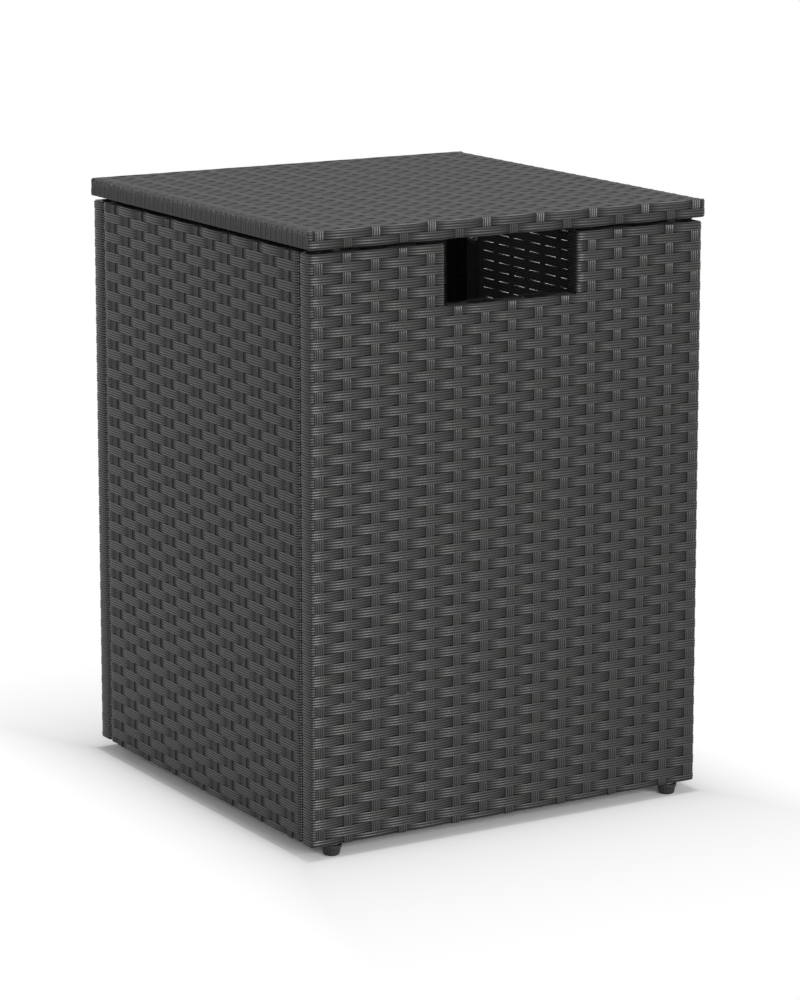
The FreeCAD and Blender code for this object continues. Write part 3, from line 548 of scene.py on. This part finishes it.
def whole_panel(side, wide, seed, looks, **layout):
    """A panel without a notch."""
    panel_wefts(f"{side}_top_weft", side, left=0, width=wide, first_row=0, rows=1, seed=seed + 2,
                section=UPPER_EDGE_STRAND, **layout)
    panel_wefts(f"{side}_wefts", side, left=0, width=wide, first_row=1, rows=LAST_ROW - 1, seed=seed,
                looks=looks, **layout)
    panel_wefts(f"{side}_bottom_weft", side, left=0, width=wide, first_row=LAST_ROW, rows=1, seed=seed + 3,
                section=LOWER_EDGE_STRAND, **layout)
    panel_ribs(f"{side}_ribs", side, top=0, height=TALL, seed=seed + 1, **layout)
    upper_edge(f"{side}_top_edge", side, left=0, width=wide, edge=0, row=0, seed=seed + 4, **layout)


# the panels without a notch are woven flatter
FLAT_LOOKS = WEFT_LOOKS | dict(Height=0.45 * MM, Squareness=1.6, Dwell=0.35)
whole_panel("rear", FRONT_WIDE, seed=31, looks=FLAT_LOOKS, **FRONT_LAYOUT)

left_low, left_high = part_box("left_weave")
SIDE_WIDE = left_high.y - left_low.y
SIDE_RIBS = 13
SIDE_RIB_SPACING = 27.1 * MM
SIDE_FIRST_RIB = (SIDE_WIDE - (SIDE_RIBS - 1) * SIDE_RIB_SPACING) / 2
# the right one is a little looser, and daylight shows through it
LOOSE_LOOKS = WEFT_LOOKS | dict(Height=0.30 * MM, Breadth=0.978, Waver=0.05 * MM)
for seed, side, looks in ((21, "left", FLAT_LOOKS), (41, "right", LOOSE_LOOKS)):
    whole_panel(side, SIDE_WIDE, seed=seed, looks=looks, first_rib=SIDE_FIRST_RIB,
                rib_spacing=SIDE_RIB_SPACING, ribs=SIDE_RIBS, over=0)


# The panel bolts
# Eight M6 button head screws, zinc plated, clamp the side frames to the front
# and rear ones over a washer each, into rivet nuts that are set in the tube.

zinc = speckled_material("zinc plating", dark=(0.26, 0.26, 0.27, 1), light=(0.40, 0.40, 0.41, 1),
                         cloud_scale=300, roughness=(0.34, 0.50), grain=0.15, Metallic=1.0)
finish_nodes(zinc, "panel_bolts", "panel_washers", "panel_rivet_nuts")


# The feet
# Each foot is a black moulded knob, fluted for the fingers, on an M8 stud
# that screws into a rivet nut under the frame and levels the table.

CORNERS = ("front_left", "front_right", "rear_left", "rear_right")

finish_nodes(zinc, "foot_rivet_nuts", *(f"foot_stud_{corner}" for corner in CORNERS))
moulded = speckled_material("black moulded plastic", dark=(0.006, 0.006, 0.006, 1),
                            light=(0.012, 0.012, 0.012, 1), cloud_scale=90,
                            roughness=(0.35, 0.5), grain=0.3, Specular_IOR_Level=0.3)
finish_nodes(moulded, *(f"foot_knob_{corner}" for corner in CORNERS))


# The lid
# A welded square of tube with two cross bars and corner plates, woven over
# in the same strands. It lifts off, and corner guides keep it in place.

finish_nodes(powder_coat, "lid_frame")

lid_low, lid_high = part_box("lid_weave")
LID_WIDE = lid_high.x - lid_low.x
LID_DEEP = lid_high.y - lid_low.y
LID_THICK = lid_high.z - lid_low.z
LID_WEFT_LOOKS = WEFT_LOOKS | dict(Height=0.32 * MM, Dwell=0.3, Breadth=0.985)
LID_RIB_LOOKS = RIB_LOOKS | dict(Height=0.22 * MM)
LID_BEND = 4.2 * MM
LID_BACK_BEND = 2.0 * MM
LID_ROWS = 45
# between the rows on top and the lid's front or rear edge
LID_MARGIN = 3.15 * MM
LID_ROW_SPACING = (LID_DEEP - 2 * LID_MARGIN) / LID_ROWS
LID_FIRST_ROW = LID_MARGIN + LID_ROW_SPACING / 2
LID_FIRST_RIB = (LID_WIDE - (FRONT_RIBS - 1) * FRONT_RIB_SPACING) / 2
# the front and the rear edge have two rows each, a quarter of the thickness from the lid's faces
LID_EDGE_ROW = LID_THICK / 4
LID_STRAND = strand_section("rounded strand", crown=0.45 * MM)
LID_LOWER_STRAND = strand_section("strand on the lid's lower edge", fold=-1, edge=LID_EDGE_ROW)
# a face drawn from its front left corner, laid flat with its rows running back
LAID_FLAT = Matrix.Translation((lid_low.x, lid_low.y, lid_high.z)) @ Matrix.Rotation(radians(-90), 4, "X")

lid_rib_marks = crossing_marks(LID_FIRST_RIB, FRONT_RIB_SPACING, FRONT_RIBS, WEFT_OFFSETS)
lid_weft_path = wrapped_path(LID_WIDE, LID_THICK, lid_rib_marks, LID_BEND, EDGE_SWAY, LID_BACK_BEND)
woven("lid_wefts", lid_weft_path, LAID_FLAT @ Matrix.Translation((0, 0, LID_FIRST_ROW)), "lid", "lid_weave",
      Section=LID_STRAND, Strands=LID_ROWS, Spacing=LID_ROW_SPACING, First_Crossing=LID_FIRST_RIB,
      Crossing_Spacing=FRONT_RIB_SPACING, Over_First=1, Seed=51, **LID_WEFT_LOOKS)
lid_row_marks = crossing_marks(LID_FIRST_ROW, LID_ROW_SPACING, LID_ROWS, RIB_OFFSETS)
lid_rib_path = wrapped_path(LID_DEEP, LID_THICK, lid_row_marks, FOLD_BEND, edge_sway=1.0)
woven("lid_ribs", lid_rib_path, LAID_FLAT @ Matrix.Translation((LID_FIRST_RIB, 0, LID_DEEP)) @ DOWN, "lid",
      "lid_weave", Strands=FRONT_RIBS, Spacing=FRONT_RIB_SPACING, First_Crossing=LID_FIRST_ROW,
      Crossing_Spacing=LID_ROW_SPACING, Over_First=0, Seed=52, **LID_RIB_LOOKS)

# a strand on the front or rear edge turns both corners and ends behind them
edge_path = [point for point in wrapped_path(LID_WIDE, LID_THICK, lid_rib_marks, PANEL_BEND, EDGE_SWAY)
             if point.depth < SKIN_MIDDLE + PANEL_BEND + LEAST_STEP]
for side, corner, turn in (("front", (lid_low.x, lid_low.y), 0), ("rear", (lid_high.x, lid_high.y), 180)):
    for row, section in enumerate((UPPER_EDGE_STRAND, LID_LOWER_STRAND)):
        place = (Matrix.Translation((*corner, lid_high.z)) @ Matrix.Rotation(radians(turn), 4, "Z")
                 @ Matrix.Translation((0, 0, -LID_EDGE_ROW - row * LID_THICK / 2)))
        woven(f"lid_{side}_edge_weft_{row + 1}", edge_path, place, "lid", "lid_weave", Section=section,
              Strands=1, Spacing=STRAND_WIDE, First_Crossing=LID_FIRST_RIB,
              Crossing_Spacing=FRONT_RIB_SPACING, Over_First=row, Seed=53 + row, **WEFT_LOOKS)

for section in (FLAT_STRAND, LID_STRAND, UPPER_EDGE_STRAND, LOWER_EDGE_STRAND, LID_LOWER_STRAND):
    bpy.data.objects.remove(section)


# What the lid carries underneath
# Rubber bumpers stop it rattling on the body, and moulded corner blocks,
# held by a screw and a welded nut each, drop inside the body's corners.

rubber = speckled_material("black rubber", dark=(0.006, 0.006, 0.006, 1), light=(0.011, 0.011, 0.011, 1),
                           cloud_scale=120, roughness=(0.6, 0.8), grain=0.2, Specular_IOR_Level=0.15)
finish_nodes(rubber, "lid_bumpers")
finish_nodes(zinc, "lid_guide_screws", "lid_guide_nuts")
guide_plastic = speckled_material("guide plastic", dark=(0.008, 0.008, 0.008, 1),
                                  light=(0.014, 0.014, 0.014, 1), cloud_scale=80,
                                  roughness=(0.4, 0.55), grain=0.2, Specular_IOR_Level=0.2)
finish_nodes(guide_plastic, "lid_guides")


# The studio
# A white floor that keeps the table's shadow, a white surround, and six soft lamps: one before
# the front panel, a fill beside it, and weaker ones above, behind, at the left and at the right.

FLOOR_SIDE = 12.0
FLOOR_COLOUR = (0.65, 0.65, 0.65, 1)
WHITE = (1, 1, 1, 1)
WORLD_LIGHT = 0.30
# the shadow on the floor fades out from near to far, measured from the table's middle
SHADOW_NEAR = 0.203
SHADOW_FAR_SIDE = 0.29
SHADOW_FAR_FRONT = 0.48
# powers of the distance: the lower, the sooner it has gone
SIDE_FADING = 0.34
FRONT_FADING = 0.24


def seen_rays(tree):
    """1 for what the camera sees, straight or in a reflection or through glass, and 0 for the rest."""
    rays = add(tree, "ShaderNodeLightPath").outputs
    seen = maths(tree, "MAXIMUM", rays["Is Camera Ray"], rays["Is Glossy Ray"])
    return maths(tree, "MAXIMUM", seen, rays["Is Transmission Ray"])


floor_paint, tree, shader = new_material("white floor", Base_Color=FLOOR_COLOUR, Roughness=0.9,
                                         Specular_IOR_Level=0.1)
# away from the table the floor is plain white to the eye and in reflections
spot = add(tree, "ShaderNodeVectorMath", {0: add(tree, "ShaderNodeTexCoord").outputs["Object"]},
           operation="ABSOLUTE")
across_floor = add(tree, "ShaderNodeSeparateXYZ", {0: spot.outputs[0]}).outputs
beside = maths(tree, "POWER", ramp(tree, across_floor["X"], between=(SHADOW_NEAR, SHADOW_FAR_SIDE)),
               SIDE_FADING)
before = maths(tree, "POWER", ramp(tree, across_floor["Y"], between=(SHADOW_NEAR, SHADOW_FAR_FRONT)),
               FRONT_FADING)
white_share = maths(tree, "MULTIPLY", seen_rays(tree), maths(tree, "MAXIMUM", beside, before))
plain_white = add(tree, "ShaderNodeEmission", {"Color": WHITE, "Strength": 1.0})
floor_look = add(tree, "ShaderNodeMixShader", {0: white_share, 1: shader.outputs[0],
                                               2: plain_white.outputs[0]})
tree.links.new(floor_look.outputs[0], tree.nodes["Material Output"].inputs["Surface"])
floor_mesh = bpy.data.meshes.new("floor")
half_side = FLOOR_SIDE / 2
floor_mesh.from_pydata([(-half_side, -half_side, 0), (half_side, -half_side, 0),
                        (half_side, half_side, 0), (-half_side, half_side, 0)], [], [(0, 1, 2, 3)])
floor_mesh.materials.append(floor_paint)
floor = bpy.data.objects.new("floor", floor_mesh)
bpy.context.collection.objects.link(floor)

LAMPS_AIM = (0, 0, 0.27)


def lamp(name, place, size, power):
    """A square soft lamp that looks from its place at the table."""
    light = bpy.data.lights.new(name, "AREA")
    light.size = size
    light.energy = power
    holder = bpy.data.objects.new(name, light)
    aim = (Vector(LAMPS_AIM) - Vector(place)).to_track_quat("-Z", "Y")
    holder.matrix_world = Matrix.Translation(place) @ aim.to_matrix().to_4x4()
    bpy.context.collection.objects.link(holder)


lamp("front lamp", place=(0.75, -5.0, 1.45), size=2.7, power=285)
lamp("top lamp", place=(-0.3, -0.2, 2.6), size=1.6, power=7)
lamp("rear lamp", place=(0.1, 3.8, 1.0), size=1.4, power=24)
lamp("left lamp", place=(-2.8, 0.1, 1.3), size=1.4, power=17)
lamp("right lamp", place=(2.6, -1.2, 1.2), size=1.0, power=12)
lamp("fill lamp", place=(-2.0, -3.5, 1.25), size=1.6, power=84)

world = bpy.data.worlds.new("studio")
world.use_nodes = True
world_tree = world.node_tree
world_tree.nodes.clear()
soft = add(world_tree, "ShaderNodeBackground", {"Color": WHITE, "Strength": WORLD_LIGHT})
surround = add(world_tree, "ShaderNodeBackground", {"Color": WHITE, "Strength": 1.0})
world_look = add(world_tree, "ShaderNodeMixShader", {0: seen_rays(world_tree), 1: soft.outputs[0],
                                                     2: surround.outputs[0]})
add(world_tree, "ShaderNodeOutputWorld", {"Surface": world_look.outputs[0]})
bpy.context.scene.world = world
bpy.context.scene.view_settings.view_transform = "Standard"

CAMERA_PLACE = (-1.6544, -2.7772, 0.9644)
CAMERA_YAW = -30.922
CAMERA_PITCH = 10.481
FOCAL_LENGTH = 130.23
CAMERA_SHIFT = -0.12
lens = bpy.data.cameras.new("camera")
lens.sensor_width = 36.0
lens.lens = FOCAL_LENGTH
lens.shift_y = CAMERA_SHIFT
camera = bpy.data.objects.new("camera", lens)
camera.matrix_world = (Matrix.Translation(CAMERA_PLACE) @ Matrix.Rotation(radians(CAMERA_YAW), 4, "Z")
                       @ Matrix.Rotation(radians(90 - CAMERA_PITCH), 4, "X"))
bpy.context.collection.objects.link(camera)
bpy.context.scene.camera = camera
